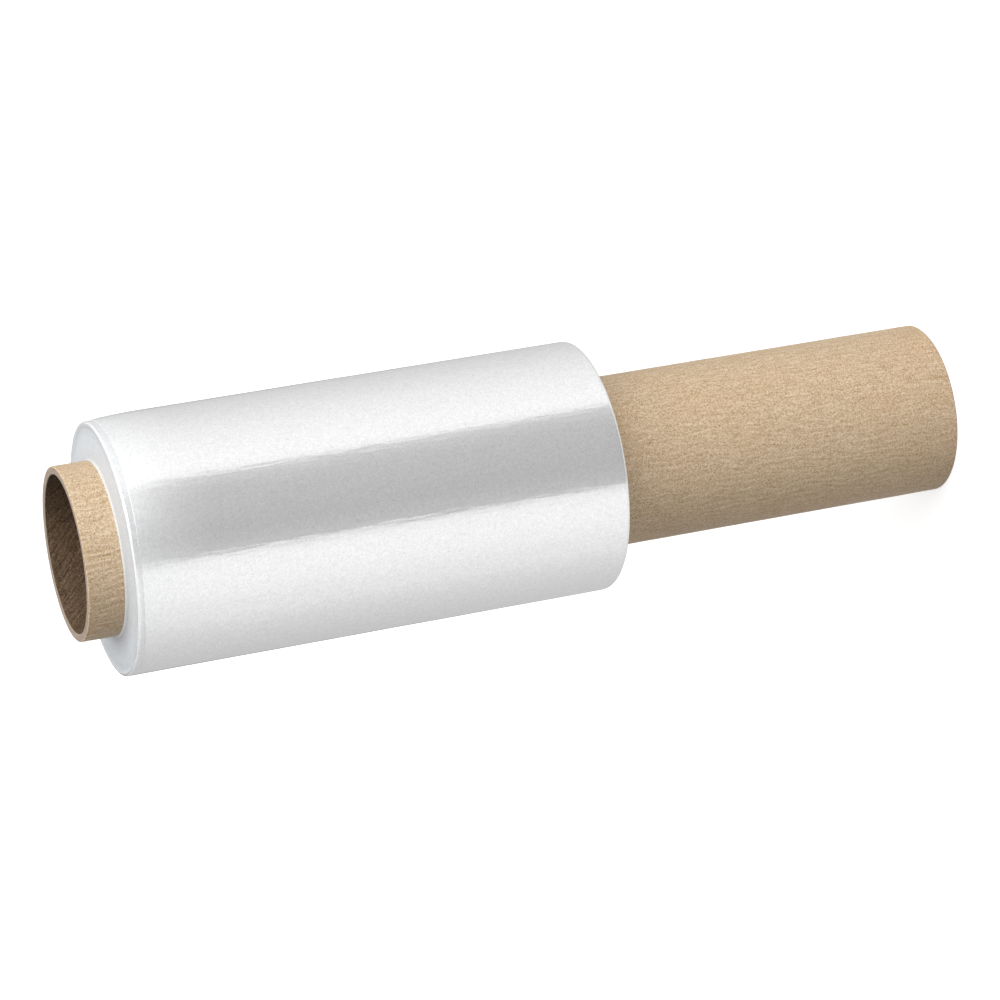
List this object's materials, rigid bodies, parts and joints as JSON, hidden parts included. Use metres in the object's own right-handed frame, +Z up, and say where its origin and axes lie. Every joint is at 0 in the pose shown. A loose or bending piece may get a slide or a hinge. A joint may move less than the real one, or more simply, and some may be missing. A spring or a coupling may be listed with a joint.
{
  "type": "stretch wrap roll",
  "caption": "Hand roll of white stretch film wound on a long cardboard tube, with a bare handle at one end and a short bare stub at the other.",
  "frame": {"origin": "centre of the cut end of the handle, which the roll stands on", "axes": "+Z up along the roll's axis, from the handle's cut end to the short stub; X and Y are any two directions across it"},
  "size_m": [0.081, 0.081, 0.292],
  "materials": {
    "kraft_core": "spiral-wound board with a creped kraft paper outside, matt",
    "white_film": "tightly wound polyethylene film, milky white, glossy along the turns and satin on the ends"
  },
  "bodies": {
    "root": {"core_tube": "kraft_core", "film_winding": "white_film"}
  },
  "joints": []
}
